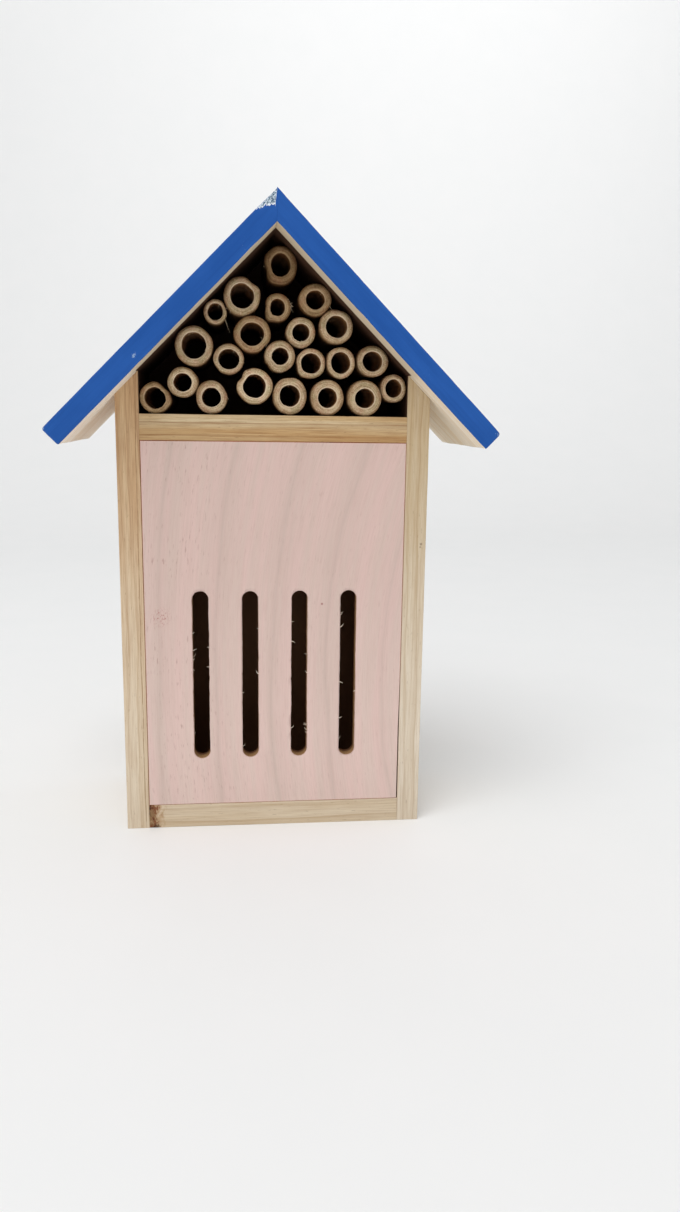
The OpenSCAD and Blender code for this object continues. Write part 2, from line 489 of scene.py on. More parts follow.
class Grain:
    """The parts of sawn pine that its colours are mixed from.

    fibre names the way the grain runs, pith is the heart of the log across it, spacing is the width of
    a year's ring, and bow bends the rings along the board, more so to the right.
    late is the dark wood of each ring, broad and streaks are uneven colour, fine is the fibres, dashes
    are short pores, and end is 1 on end grain."""

    def __init__(self, r, fibre, pith, spacing, seed, warp=1.0, bow=0.0, bow_centre=0.0, ring=RING):
        self.r, self.seed = r, seed
        self.a, self.b, self.f = (r.place.along(axis) for axis in FIBRE[fibre])
        if bow:
            off = self.f - bow_centre
            self.a = self.a - off * off * bow * (self.a * 0.009 + 1.0)
        sway = r.noise(self.stretched(0.05, 0.014), 2.0, 0.45) * (8 * warp) - 4 * warp
        wide = self.a - pith[0] + sway
        rings = r.combine(wide, self.b - pith[1], 0.0).length() / spacing
        strength = r.chance(r.math("FLOOR", rings)) * 0.7 + 0.4
        self.late = r.curve(r.math("FRACT", rings), ring) * strength
        self.broad = r.noise(self.stretched(0.20, 0.010), 3.0, 0.55)
        self.streaks = r.noise(self.stretched(1.1, 0.028), 3.0, 0.6).between(0.48, 0.70)
        self.fine = r.noise(self.stretched(2.4, 0.07), 4.0, 0.7)
        self.dashes = r.noise(self.stretched(2.0, 0.30), 2.0, 0.5).between(0.66, 0.73)
        self.end = r.facing(FIBRE[fibre][2]).between(0.6, 0.9)

    def stretched(self, across, down):
        """A place for noise whose bumps are 1 / across wide and 1 / down long."""
        return self.r.combine(self.a * across, self.b * across, self.f * down + self.seed)


def pine(name, fibre, pith, spacing, seed, light=rgb(214, 193, 160), tone=rgb(198, 168, 128),
         dark=rgb(176, 134, 88), fade=None, knot=None, spots=(), seam=None, **grain):
    """Bare planed pine, in millimetres. fade is (light, tone, dark, from height, to height) for
    colours that it turns to further down, knot is (centre, size), spots are (centre, size, strength),
    and seam is where a thin dark line runs up the front."""
    r = Recipe(name, Specular_IOR_Level=0.25)
    g = Grain(r, fibre, pith, spacing, seed, **grain)
    if fade:
        drop = r.place.along(UP).between(fade[4], fade[3], 1.0, 0.0)
        light, tone, dark = (r.mix(drop, upper, lower) for upper, lower in zip((light, tone, dark), fade))
    colour = r.layers(
        r.mix(g.broad.between(0.35, 0.68), light, tone),
        (g.late * 0.60, dark),
        (g.streaks * 0.38, dark),
        (g.fine.between(0.34, 0.60, 0.42, 0.0), dark),
        (g.fine.between(0.58, 0.80, 0.0, 0.30), light),
        (g.dashes * 0.40, rgb(120, 84, 52)),
        (g.end * 0.38, rgb(158, 120, 80)))
    if seam is not None:
        wander = r.noise(g.stretched(0.0, 0.03), 2.0, 0.5) * 1.6 - 0.8
        line = abs(g.a - seam + wander).between(0.05, 0.30, 0.65, 0.0)
        gaps = r.noise(g.stretched(0.0, 0.12), 3.0, 0.6).between(0.34, 0.56, 0.35, 1.0)
        colour = r.mix(line * gaps, colour, rgb(140, 98, 62))
    if knot:
        centre, size = knot
        wavy = r.noise(r.place * (0.55, 0.4, 0.3), 4.0, 0.7)
        oval = ((r.place - centre) * (1.0, 0.4, 0.42)).length()
        reach = oval + (wavy * (size * 2.4) - size * 1.2)
        colour = r.layers(
            colour,
            (reach.between(size * 0.7, size * 1.4, 0.7, 0.0), rgb(176, 138, 98)),
            (reach.between(size * 0.5, size * 0.8, 0.95, 0.0),
             r.mix(wavy.between(0.44, 0.52), rgb(128, 76, 48), rgb(140, 108, 74))),
            (reach.between(0.0, size * 0.3, 0.95, 0.0), rgb(58, 36, 24)))
    for centre, size, strength in spots:
        wavy = r.noise(r.place * 0.9, 3.0, 0.6)
        reach = ((r.place - centre) * (1.0, 0.6, 1.0)).length() + (wavy * (size * 1.6) - size * 0.8)
        colour = r.mix(reach.between(size * 0.4, size * 1.1, strength, 0.0), colour, rgb(78, 50, 32))
    # Painted shade inside the chamber and the attic
    r.set("Base Color", r.painted_inner_shade(colour))
    r.set("Roughness", g.late.between(0.0, 1.0, 0.74, 0.6))
    r.set("Normal", r.bump(g.fine * 0.7 + g.late * 0.4, 0.12, 0.6))
    return r.material


def pink_stain(name):
    """Pine under a thin matt pink stain on its front; the slots and the back stay bare.

    The mark stained is 1 under the stain, and edge is 1 at the board's outer sides."""
    r = Recipe(name, Specular_IOR_Level=0.2)
    g = Grain(r, "z", (-230.0, -4.0), 23.0, 3.7, warp=0.8, bow=0.0012, bow_centre=62.0, ring=SOFT_RING)
    # Darker towards the top: painted shade under the roof's overhang
    rise = r.place.along(UP).between(10.0, 130.0)
    light = r.mix(rise, rgb(231, 202, 194), rgb(220, 191, 183))
    tone = r.mix(rise, rgb(226, 203, 193), rgb(215, 191, 181))
    short = r.noise(g.stretched(1.7, 0.22), 2.0, 0.5).between(0.60, 0.70)
    to_right = r.place.along(RIGHT).between(-50.0, -8.0, 0.62, 0.18)
    patches = r.noise(r.place * 0.05, 2.0, 0.5).between(0.35, 0.6, 0.25, 1.0)
    bruise = (r.place - (-45.6, FRONT_Y, 90.0)).length().between(1.0, 5.0, 0.75, 0.0)
    strokes = r.noise(r.place * (1.6, 1.0, 0.9), 3.0, 0.6).between(0.5, 0.62)
    dot = (r.place - (19.1, FRONT_Y, 95.0)).length().between(0.25, 0.65, 0.7, 0.0)
    pink = r.layers(
        r.mix(g.broad.between(0.36, 0.66), light, tone),
        (g.late * 0.52, rgb(186, 168, 157)),
        (g.streaks * 0.12, rgb(196, 164, 152)),
        (g.fine.between(0.34, 0.60, 0.18, 0.0), rgb(186, 152, 142)),
        (g.fine.between(0.60, 0.80, 0.0, 0.20), rgb(236, 211, 204)),
        (short * to_right * patches, rgb(164, 122, 114)),
        (bruise * strokes, rgb(176, 112, 108)),
        (dot, rgb(150, 84, 84)))
    bare = r.mix(g.fine.between(0.3, 0.7), rgb(190, 152, 110), rgb(150, 112, 74))
    # The bare sides and slot walls take painted shade from 4 mm behind the front
    bare = r.painted_inner_shade(r.mix(r.mark("edge"), bare, rgb(172, 98, 60)), 4.0)
    ragged = r.noise(r.place * 1.4, 2.0, 0.6) * 0.5 - 0.25
    cover = (r.mark("stained") + ragged).between(0.35, 0.65)
    r.set("Base Color", r.mix(cover, bare, pink))
    r.set("Roughness", g.broad.between(0.3, 0.7, 0.64, 0.76))
    r.set("Normal", r.bump(g.fine * 0.6 + g.late * 0.2, 0.10, 0.5))
    return r.material


def blue_roof(name, fibre, pith, seed, wood_light, wood_tone):
    """Satin blue paint over pine. The mark bare shows the wood, wear rubs the paint thin, and chip
    is the crushed paint at the ridge."""
    r = Recipe(name, Specular_IOR_Level=0.22)
    g = Grain(r, fibre, pith, 4.2, seed)
    in_gable = abs(r.place.along(RIGHT)).between(INNER_X - 1.0, INNER_X + 3.0, 0.9, 0.0)
    # The bare wood is far paler than the other pine, near white: painted light, standing in for bounce from
    # the pale floor
    wood = r.layers(
        r.mix(g.broad.between(0.35, 0.68), wood_light, wood_tone),
        (g.late * 0.32, rgb(210, 188, 158)),
        (g.streaks * 0.3, rgb(206, 182, 152)),
        (g.fine.between(0.3, 0.62, 0.25, 0.0), rgb(204, 180, 150)),
        (g.dashes * 0.35, rgb(150, 122, 94)),
        (in_gable, rgb(223, 209, 182)))
    # Painted shade on the underside, from 5.5 mm in front of the walls inwards
    wood = r.painted_inner_shade(wood, -5.5)
    crumb = r.noise(r.place * 2.1, 3.0, 0.7)
    grit = r.noise(r.place * 1.8, 3.0, 0.7)
    chip = r.mark("chip") + (crumb * 0.9 - 0.45)
    chipped = chip.between(0.42, 0.54)
    fringe = chipped * chip.between(0.62, 0.92, 1.0, 0.0)
    torn = r.mix(grit.between(0.44, 0.56), rgb(70, 100, 124), rgb(214, 228, 238))
    rubbed = (r.mark("wear") + (crumb * 1.6 - 0.8)).between(0.55, 0.75)
    cloud = r.noise(g.stretched(0.13, 0.03), 4.0, 0.6)
    blue = r.layers(
        r.mix(cloud.between(0.3, 0.7), rgb(23, 81, 159), rgb(31, 89, 169)),
        (g.late * 0.10, rgb(6, 52, 122)),
        (g.streaks * 0.14, rgb(4, 50, 120)),
        (rubbed * 0.8, rgb(150, 174, 204)),
        (chipped, r.mix(fringe, torn, rgb(244, 248, 252))))
    ragged = r.noise(r.place * 0.9, 3.0, 0.6) * 0.7 - 0.35
    bare = (r.mark("bare") + ragged).between(0.42, 0.58)
    satin = cloud.between(0.3, 0.7, 0.44, 0.54)
    dents = r.noise(r.place * 1.1, 2.0, 0.5)
    r.set("Base Color", r.mix(bare, blue, wood))
    r.set("Roughness", satin + r.math("MAXIMUM", bare, chipped) * 0.25)
    r.set("Normal", r.bump(g.fine * 0.35 + dents * 0.35 + grit * chipped * 3.0, 0.10, 0.5))
    return r.material


def bamboo(name, seed, tint):
    """Dry bamboo: a pale rim, a fibrous end, darker skin that painted shade darkens further back, and a
    brown bore that painted light makes paler further in.

    The mark u runs from 0 at the bore to 1 at the skin, face is 1 on the sawn end, and deep is how far
    behind the tube's front a point lies."""
    r = Recipe(name, Specular_IOR_Level=0.2)
    u, face, deep = r.mark("u"), r.mark("face"), r.mark("deep")
    fibres = r.noise(r.place * (2.6, 0.10, 2.6) + (seed, seed, 0.0), 4.0, 0.65)
    patches = r.noise(r.place * 0.28 + (0.0, 0.0, seed), 3.0, 0.55)
    blush = r.noise(r.place * 0.2 + (seed, 7.0, 0.0), 2.0, 0.5)
    flat = r.place * (1.0, 0.15, 1.0)
    hairs = r.noise(flat * 2.0, 4.0, 0.7, 0.6)
    arcs = r.noise(flat * 0.16 + r.combine(0.0, u * 6.0, 0.0), 3.0, 0.5)
    dots = r.cells(flat, 1.5).between(0.12, 0.3, 1.0, 0.0)
    end = r.layers(
        r.mix(u.between(0.1, 0.95), rgb(217, 193, 155), rgb(173, 142, 102)),
        (patches.between(0.46, 0.62, 0.0, 0.6), rgb(190, 144, 114)),
        (blush.between(0.5, 0.62, 0.0, 0.6), rgb(168, 154, 112)),
        (dots * u.between(0.1, 0.9, 0.12, 0.5), rgb(132, 94, 60)),
        (arcs.between(0.50, 0.62, 0.0, 0.45), rgb(232, 211, 176)),
        (arcs.between(0.36, 0.47, 0.55, 0.0), rgb(136, 102, 68)),
        (hairs.between(0.52, 0.68, 0.0, 0.7), rgb(234, 213, 178)),
        (hairs.between(0.32, 0.47, 0.75, 0.0), rgb(130, 96, 62)),
        (u.between(0.06, 0.18, 0.9, 0.0), rgb(238, 219, 187)),
        (u.between(0.86, 0.97, 0.0, 0.65), rgb(126, 92, 60)))
    skin_colour = r.layers(
        r.mix(fibres.between(0.3, 0.7), rgb(150, 112, 74), rgb(184, 146, 104)),
        (patches.between(0.4, 0.75, 0.0, 0.6), rgb(138, 112, 68)),
        # painted shade on the skin further behind the front end
        (deep.between(2.0, 9.0), rgb(96, 66, 40)))
    bore = r.layers(
        r.mix(fibres.between(0.3, 0.7), rgb(150, 106, 68), rgb(186, 140, 94)),
        # painted light: the bore turns paler further in, where it would otherwise be black
        (deep.between(8.0, 24.0), rgb(248, 214, 178)))
    body = r.mix(u.between(0.45, 0.55), bore, skin_colour)
    r.set("Base Color", r.mix(1.0, r.mix(face, body, end), (*tint, 1.0), "MULTIPLY"))
    r.set("Roughness", fibres.between(0.3, 0.7, 0.55, 0.72))
    r.set("Normal", r.bump(fibres * 0.6 + hairs * 0.6, 0.16, 0.7))
    return r.material


def metal(name, light, dark, roughness, spots=0.25):
    """Bright steel with brushed streaks and dull spots."""
    r = Recipe(name, Metallic=1.0)
    brushed = r.noise(r.place * (0.4, 3.0, 6.0), 3.0, 0.6)
    dull = r.noise(r.place * 0.5, 4.0, 0.65)
    colour = r.mix(brushed.between(0.3, 0.7), dark, light)
    r.set("Base Color", r.mix(dull.between(0.52, 0.72, 0.0, spots), colour, rgb(120, 104, 88)))
    r.set("Roughness", dull.between(0.3, 0.7, roughness, roughness + 0.2))
    r.set("Normal", r.bump(brushed + dull, 0.03, 0.4))
    return r.material


# ---------------- boards

# Which way is outward on each side, and the width and depth of the dents over the nails
SIGN = {"left": -1, "right": 1}
NAIL_DENT = (4.6, 0.35)
ROOF_PIT = (3.4, 0.4)


def roof_under(x):
    """Height of the roof's underside, at x across from the middle."""
    return GABLE_TOP - np.abs(x)


def arc(x, z, radius, start, end, count):
    """Points of an arc round (x, z), between two turns in radians."""
    return [(x + radius * math.cos(t), z + radius * math.sin(t)) for t in np.linspace(start, end, count)]


def nail_spots(node, axis, face):
    """The centres of the flat nail heads in a CAD node of nails, which lie at face along an axis."""
    points = cad_points(node)
    heads = points[np.abs(points[:, axis] - face) < 0.05]
    return [(low + high) / 2 for low, high in clusters(heads, 5)]


def roof_nails(side):
    """Lowest and highest corner of each nail in a roof board."""
    return clusters(cad_points(f"roof_nails_{side}"), 4, axes=(0, 1))


def dent(centre, direction, width, depth):
    """A lens-shaped cutter that leaves a round dent."""
    radius = (width * width / 4 + depth * depth) / (2 * depth)
    half = math.asin(width / 2 / radius)
    profile = [(radius * math.sin(half * t), radius - depth - radius * math.cos(half * t))
               for t in (0.12, 0.35, 0.6, 0.85, 1.0)]
    profile.append((width / 2 * 1.02, 0.4))
    return lathe(profile, centre, direction, 28)


def pine_board(name, points, faces, amount, size, seed, material):
    """A board of bare wood with uneven faces, kept above the surface that the house stands on."""
    points = roughen(points, faces, amount, size, seed)
    points[:, 2] = np.maximum(points[:, 2], 0.0)
    return make_piece(f"{name}_wood", points, faces, material, [name], "pine")


def side_wall(side, seed, material):
    sign = SIGN[side]
    name = f"side_wall_{side}"
    tall = WALL_HIGH[2]
    points, faces = block((OUTER_X - INNER_X, REAR_Y - FRONT_Y, tall), (0.8, 1.6, 3.0), 0.28, seed)
    x = sign * (INNER_X + points[:, 0])
    z = points[:, 2] * roof_under(x) / tall
    points = np.column_stack([x, FRONT_Y + points[:, 1], z])
    if sign < 0:
        faces = flipped(faces)
    piece = pine_board(name, points, faces, 0.07, (3, 6, 40), seed, material)
    spots = nail_spots(f"side_nails_{side}", 0, sign * OUTER_X)
    carve(piece, [dent(spot, (sign, 0, 0), *NAIL_DENT) for spot in spots])


def flat_board(name, seed, material):
    low, high = cad_box(name)
    points, faces = block(high - low, (3.0, 1.6, 0.8), 0.26, seed)
    pine_board(name, points + low, faces, 0.06, (30, 5, 3), seed, material)


def back_board(material):
    size = (2 * INNER_X, BACK_HIGH[1] - BACK_LOW[1], GABLE_TOP)
    under_ridge = (INNER_X - 0.5, INNER_X + 0.5, 0.5)
    points, faces = block(size, (1.6, 2.0, 3.0), 0.35, 31, fine=(under_ridge, None, None))
    x = points[:, 0] - INNER_X
    z = points[:, 2] * roof_under(x) / GABLE_TOP
    points = np.column_stack([x, BACK_LOW[1] + points[:, 1], z])
    piece = pine_board("back_board", points, faces, 0.05, (4, 6, 50), 31, material)
    cutters = [dent(spot, BACK, *NAIL_DENT) for spot in nail_spots("back_nails", 1, REAR_Y)]
    cutters.append(prism(keyhole_outline(4.8, 4.8), REAR_Y - 5, REAR_Y + 1))
    carve(piece, cutters)


def keyhole_outline(entry_r, neck_r):
    """The hanger's keyhole in X and Z: a round entry below, and a neck with a round end above."""
    neck_h = 7.0
    entry_z = (PLATE_LOW[2] + PLATE_HIGH[2]) / 2 - neck_h / 2 - 0.5
    if neck_r < entry_r:
        gap = math.asin(neck_r / entry_r)
        entry = arc(0, entry_z, entry_r, math.pi / 2 + gap, math.pi * 2.5 - gap, 40)
    else:
        entry = arc(0, entry_z, entry_r, math.pi, 2 * math.pi, 20)
    return entry + arc(0, entry_z + neck_h, neck_r, 0, math.pi, 20)


# ---------------- front panel

def slot_boxes():
    """Left, right, bottom and top of each slot, from the panel's CAD mesh."""
    points = cad_points("front_panel")
    x, y, z = points.T
    inside = (np.abs(x) < PANEL_HIGH[0] - 2) & (z > PANEL_LOW[2] + 5) & (z < PANEL_HIGH[2] - 5)
    slots = clusters(points[inside & (np.abs(y - FRONT_Y) < 0.02)], 10, axes=(0,))
    return sorted((low[0], high[0], low[2], high[2]) for low, high in slots)


def slot_cutter(box, number):
    """A round-ended slot whose sides wander and nick a little, and which flares at the front."""
    left, right, bottom, top = box
    middle, radius = (left + right) / 2, (right - left) / 2
    low_z, high_z = bottom + radius, top - radius
    around, up_side = 18, 110
    outline = np.array(
        arc(middle, high_z, radius, 0, math.pi, around)
        + [(left, z) for z in np.linspace(high_z, low_z, up_side)[1:-1]]
        + arc(middle, low_z, radius, math.pi, 2 * math.pi, around)
        + [(right, z) for z in np.linspace(low_z, high_z, up_side)[1:-1]])
    centre = np.column_stack([np.full(len(outline), middle), np.clip(outline[:, 1], low_z, high_z)])
    outward = (outline - centre) / radius
    flat = np.column_stack([outline[:, 0], np.full(len(outline), number * 9.0), outline[:, 1]])
    nicks = np.clip(noise(flat, 1.1, 43) - 0.55, 0, 1) * 2
    wander = 0.10 * noise(flat, 9, 41) + 0.06 * noise(flat, 1.6, 42) + 0.22 * nicks
    low_y, high_y = PANEL_LOW[1], PANEL_HIGH[1]
    front = [(low_y - 1, 0.30), (low_y, 0.22), (low_y + 0.3, 0.03), (low_y + 1.2, 0.0)]
    rings = []
    for y, flare in front + [(high_y - 0.3, 0.0), (high_y + 1, 0.25)]:
        amount = 1.0 if y < low_y + 2 else 0.4
        ring = outline + outward * (wander * amount + flare)[:, None]
        rings.append([(x, y, z) for x, z in ring])
    return skin(rings, inside_out=True)


def front_panel(material):
    """The panel, with hairline gaps round it and a wider one at its lower right."""
    side_gap, low_gap, high_gap, wide_gap = 0.08, 0.06, 0.12, 0.38
    low = PANEL_LOW + (side_gap, 0, low_gap)
    high = PANEL_HIGH - (side_gap, 0, high_gap)
    points, faces = block(high - low, (1.3, 1.2, 2.4), 0.24, 51)
    points += low
    right = smooth(40, PANEL_HIGH[0], points[:, 0])
    points[:, 0] -= right * wide_gap * smooth(75, 35, points[:, 2])
    points = roughen(points, faces, 0.06, (5, 6, 40), 51)
    piece = make_piece("front_panel_wood", points, faces, material, ["front_panel"], "stained_pine")
    carve(piece, [slot_cutter(box, i) for i, box in enumerate(slot_boxes())])
    x, y, z = mesh_points(piece.data).T
    rim = np.min([x - low[0], high[0] - x, z - low[2], high[2] - z], axis=0)
    stained = smooth(0.9, 0.25, y - FRONT_Y) * (0.3 + 0.7 * smooth(0.08, 0.34, rim))
    mark_points(piece.data, stained=stained, edge=smooth(0.5, 0.2, rim))


# Torn fibres at the slots, as (slot from the left, side, height)
TORN = [(0, -1, 76), (0, -1, 73), (0, -1, 68), (0, 1, 77), (0, 1, 69), (2, -1, 79.6), (2, 1, 74), (2, 1, 66),
        (2, 1, 44), (2, 1, 40), (3, -1, 62), (3, -1, 37), (3, 1, 58)]


def slot_splinters(material):
    """Short torn fibres along the edges of the slots."""
    rng = random.Random(5)
    boxes = slot_boxes()
    spots = list(TORN)
    for slot, (_, _, bottom, top) in enumerate(boxes):
        spots += [(slot, rng.choice((-1, 1)), rng.uniform(bottom + 4, top - 8)) for _ in range(4)]
    parts = []
    for slot, side, z in spots:
        x = boxes[slot][1] if side > 0 else boxes[slot][0]
        y = FRONT_Y + rng.uniform(0.1, 1.0)
        length = rng.uniform(0.9, 2.4)
        rise = rng.uniform(-0.4, 1.0)
        lean = rng.uniform(-0.4, 0.4)
        path = [(x + side * 0.3, y, z)]
        for step in (0.35, 0.7, 1.0):
            path.append((x - side * length * 0.65 * step, y + lean * step, z + rise * length * step ** 1.6))
        parts.append(strand(path, rng.uniform(0.24, 0.42)))
    make_piece("slot_splinters", *joined(parts), material, [], "pine")


# ---------------- roof

def roof_softness(points):
    """How round a roof board's edges are: sharp at the mitred ridge and blunt at the eaves."""
    down = points[:, 0]
    return 0.15 + 0.85 * smooth(0, 5, down) + smooth(SLOPE - 4, SLOPE, down)


def roof_board(side, seed, material):
    """A roof board, worked out as distances down its slope, back from its front edge and inward
    from its upper face. The left one has the crushed chip at the ridge and a small fleck."""
    sign = SIGN[side]
    name = f"roof_board_{side}"
    deep = ROOF_HIGH[1] - ROOF_LOW[1]
    points, faces = block((SLOPE, deep, ROOF_T), (2.0, 2.2, 0.7), 0.6, seed,
                          fine=((0, 15, 0.4), (0, 4, 0.5), None), softness=roof_softness)
    down, back, inward = points.T
    rim = np.min([back, deep - back, SLOPE - down], axis=0)
    wobble = noise(points, 7, seed + 3)
    bare = smooth(ROOF_T - 0.35, ROOF_T - 0.05, inward) * smooth(0.1, 0.8, rim - 0.25 * wobble)
    corner = np.exp(-np.hypot(np.hypot(SLOPE - down, back) / 1.1, inward / 1.4))
    wear = np.exp(-rim / 0.5) * (0.12 + 0.22 * noise(points, 6, seed + 4)) + 1.2 * corner
    chip = np.zeros(len(points))
    if side == "left":
        from_fleck = np.hypot(np.hypot(down - 76.4, (back - 0.2) * 2), (inward - 5.4) * 1.5)
        wear = wear + 2.2 * np.exp(-from_fleck / 0.7)
        crumbs = 0.14 * noise(points, 1.6, 81) + 0.10 * noise(points, 0.8, 82)
        at_mitre = 0.85 * smooth(1.1, 0.0, down) * smooth(0.0, 1.0, inward)
        chip = 1 - smooth(0.9, 1.1, down / 10.6 + inward / 4.1 + back / 3.5 + crumbs + at_mitre)
        pressed = chip * (0.40 + 0.22 * noise(points, 1.1, 83) + 0.15 * noise(points, 0.5, 84))
        back = back + pressed * smooth(4, 0, back)
        inward = inward + pressed * 0.5 * smooth(2.0, 0, inward)
    along = down + inward * (1 - down / SLOPE)
    x = sign * (along - inward) / SQRT2
    z = RIDGE - (along + inward) / SQRT2
    points = np.column_stack([x, ROOF_LOW[1] + back, z])
    if sign < 0:
        faces = flipped(faces)
    inside = roughen(points, faces, 0.05, 8, seed)
    points = np.where((rim > 1)[:, None], inside, points)
    piece = make_piece(f"{name}_painted", points, faces, material, [name], "painted_pine",
                       bare=bare, chip=chip, wear=wear)
    cutters = []
    for low, high in roof_nails(side):
        x, y, _ = (low + high) / 2
        cutters.append(dent((x, y, RIDGE - abs(x)), (sign / SQRT2, 0, 1 / SQRT2), *ROOF_PIT))
    carve(piece, cutters)


# ---------------- bamboo tubes

# How strongly each group of tubes shows red, green and blue: partly the bamboo's own tone and partly
# painted shade; dark, on the top tube under the ridge, is painted shade, and brown is partly painted shade
# on upper tubes
BAMBOO_SHADES = {
    "dark": (0.44, 0.36, 0.28),
    "brown": (0.62, 0.545, 0.475),
    "tan": (0.81, 0.795, 0.80),
    "pale": (0.97, 0.98, 1.01),
}

# How a tube differs from a round one: width and height over the mean diameter, the same for its bore,
# grooves as (turn in degrees, depth, half width in degrees), ragged for rough edges, fray for the
# turns between which loose fibres stand out, and shade for its tint, which is partly painted shade
Style = namedtuple("Style", "wide tall bore grooves ragged fray shade", defaults=(None, (0, 360), "tan"))

# From the ridge down
TUBE_STYLE = [
    # The top tube's dark tint is painted shade under the ridge
    Style(0.96, 1.09, (0.92, 1.10), [(197, 0.11, 20), (152, -0.05, 14), (232, -0.05, 16)],
         shade="dark"),
    Style(0.98, 1.03, (0.98, 1.01), [(52, 0.13, 20), (22, -0.04, 14)]),
    Style(1.01, 1.05, (0.98, 1.06), [(20, 0.06, 16)], ragged=1.5, fray=(-40, 60)),
    Style(0.99, 1.01, (0.93, 1.05), [(176, 0.16, 24), (230, -0.16, 14), (262, 0.03, 14)],
         ragged=2.5, fray=(-5, 40), shade="brown"),
    Style(1.06, 1.0, (1.0, 0.98), [(320, 0.06, 22)], shade="brown"),
    Style(1.04, 1.03, (0.99, 0.99), [(75, 0.03, 20), (255, 0.03, 25)]),
    Style(1.0, 1.01, (1.0, 1.0), [(250, 0.03, 20)]),
    Style(1.02, 1.0, (1.04, 0.97), [(318, 0.07, 14), (135, 0.04, 22), (222, 0.04, 18)],
         ragged=1.5, fray=(-60, 0), shade="brown"),
    Style(1.0, 1.03, (0.97, 1.02), [(55, 0.03, 24)], ragged=1.6),
    Style(1.03, 0.99, (1.02, 0.97), [(215, 0.05, 20), (85, -0.02, 25)]),
    Style(1.02, 1.01, (1.0, 1.01), [(215, 0.07, 8), (250, -0.04, 16)], ragged=2.2,
         fray=(230, 290)),
    Style(1.0, 1.02, (1.01, 1.0), [(228, -0.08, 20), (190, 0.04, 14)]),
    Style(1.0, 1.07, (0.95, 1.04), []),
    Style(1.05, 0.99, (1.02, 0.98), [(40, 0.03, 22)]),
    Style(1.03, 0.99, (0.99, 0.98), [(35, 0.04, 10), (150, 0.03, 20)], shade="pale"),
    Style(1.01, 1.04, (0.99, 1.04), [(50, 0.15, 27), (-14, -0.08, 15), (205, 0.02, 30)],
         shade="brown"),
    Style(0.99, 1.06, (0.98, 1.0), [(30, 0.03, 18)]),
    Style(1.02, 1.0, (0.98, 1.01), [(148, 0.15, 18), (20, -0.02, 40)], shade="pale"),
    Style(0.98, 1.05, (0.97, 1.01), [(95, 0.03, 18)], ragged=1.8, fray=(60, 112)),
    Style(0.97, 1.04, (0.97, 1.01), [(345, -0.02, 18)]),
    Style(0.99, 1.02, (0.99, 0.98), []),
    Style(1.03, 1.07, (1.0, 1.12), [(0, 0.04, 45)]),
]


def tube_profile(wall, length):
    """Steps over a tube's wall, from the back of the bore round its sawn end to the back of the skin.

    Each is (u, depth behind the front end, sawn end or not); u is 0 at the bore and 1 at the skin."""
    lip = 0.5
    round_over = min(1.7, wall * 0.62)
    start, end = lip / wall, 1 - round_over / wall
    bore = [(0.0, y, 0) for y in (length, length * 0.6, length * 0.3, 7.0, 3.0, 1.4)]
    rim = [(start * (1 - math.cos(t)), lip * (1 - math.sin(t)), 1) for t in np.linspace(0.1, math.pi / 2, 5)]
    face = [(start + (end - start) * t, 0.0, 1) for t in (0.33, 0.66)]
    over = [(end + round_over / wall * math.sin(t), round_over * 1.15 * (1 - math.cos(t)), 1)
            for t in np.linspace(0.0, math.pi / 2, 9)]
    skin_side = [(1.0, y, 0) for y in (3.2, 5.0, 9.0, length * 0.4, length * 0.7, length)]
    return bore + rim + face + over + skin_side


def round_tube(node):
    """A CAD tube's lowest and highest corner, its centre and its outer radius."""
    low, high = cad_box(node)
    return low, high, (low + high) / 2, (high[0] - low[0]) / 2


def grooved(turns, grooves):
    """How much of its radius a tube's grooves take away at each turn."""
    taken = np.zeros(len(turns))
    for angle, depth, half in grooves:
        off = np.degrees(np.abs((turns - math.radians(angle) + math.pi) % (2 * math.pi) - math.pi))
        taken += depth * np.exp(-(off / half) ** 2)
    return taken


def tube(number, style, material):
    """One bamboo tube in place of its round CAD solid."""
    node = f"tube_{number:02d}"
    low, high, centre, outer = round_tube(node)
    across = cad_points(node) - centre
    inner = np.min(np.hypot(across[:, 0], across[:, 2]))
    rng = random.Random(number)
    tilt = (rng.uniform(-0.03, 0.03), rng.uniform(-0.03, 0.03))
    ragged = style.ragged or 1.0

    sides = 84
    turns = np.linspace(0, 2 * math.pi, sides, endpoint=False)
    cos, sin = np.cos(turns), np.sin(turns)
    ring = np.column_stack([cos, np.full(sides, number * 3.7), sin])
    grooves = grooved(turns, style.grooves)
    shape = 0.985 + 0.028 * noise(ring, 0.8, 91) + 0.014 * noise(ring, 0.3, 92) - grooves
    hole = 1 + 0.04 * noise(ring + 5, 0.8, 93) + 0.015 * noise(ring + 5, 0.25, 94) - 0.45 * grooves
    skin_x = outer * style.wide * shape * cos
    skin_z = outer * style.tall * shape * sin
    bore_x = inner * style.bore[0] * hole * cos
    bore_z = inner * style.bore[1] * hole * sin

    profile = tube_profile(outer - inner, high[1] - low[1])
    rings = []
    for u, behind, sawn in profile:
        x = centre[0] + bore_x + (skin_x - bore_x) * u
        z = centre[2] + bore_z + (skin_z - bore_z) * u
        y = np.full(sides, low[1] + behind)
        spots = np.column_stack([x, y, z])
        if sawn:
            rough = 0.16 * noise(spots, 2.1, 95) + 0.10 * noise(spots, 0.9, 98)
            rough += 0.05 * ragged * noise(spots, (0.45, 2, 0.45), 96)
            y = y + 0.12 + rough + tilt[0] * (x - centre[0]) + tilt[1] * (z - centre[2])
            y = np.maximum(y, low[1] + behind * 0.3 - 0.05)
        if u == 0.0 and behind < 2:
            chewed = 0.12 * ragged * noise(spots, 0.6, 97)
            x = x + chewed * cos
            z = z + chewed * sin
        rings.append(np.column_stack([x, y, z]))
    u, deep, face = np.repeat(profile, sides, axis=0).T
    make_piece(f"bamboo_{number:02d}", *skin(rings, looped=True), material, [node], "bamboo",
               u=u, face=face, deep=deep)


